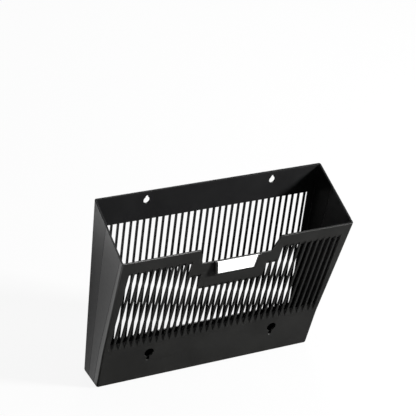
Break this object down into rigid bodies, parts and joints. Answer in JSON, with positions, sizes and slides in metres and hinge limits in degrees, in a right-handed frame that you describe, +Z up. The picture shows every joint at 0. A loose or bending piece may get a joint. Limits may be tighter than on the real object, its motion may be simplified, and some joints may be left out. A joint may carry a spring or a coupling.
{
  "type": "wall magazine file holder",
  "caption": "Wall-mounted landscape document pocket with a leaning slotted front, a slotted rear wall, a notch in the front rim, keyholes and a small front label holder with a sliding card.",
  "frame": {"origin": "on the rear face, midway between the two keyholes that the tray hangs on", "axes": "+X to the right as the user faces the front, +Y towards the wall, +Z up"},
  "size_m": [0.3242, 0.0881, 0.248],
  "materials": {
    "tray_plastic": "fine-grained satin black",
    "label_holder_plastic": "satin black",
    "label_card": "blank white card"
  },
  "bodies": {
    "holder": {"back_panel": "tray_plastic", "side_and_floor_frame": "tray_plastic", "front_panel": "tray_plastic", "label_holder": "label_holder_plastic"},
    "card": {"label_card": "label_card"}
  },
  "joints": [
    {"name": "label_card_slide", "type": "slide", "parent": "holder", "child": "card", "axis": [0, -0.0906, 0.9959], "range_m": [0, 0.018]}
  ]
}
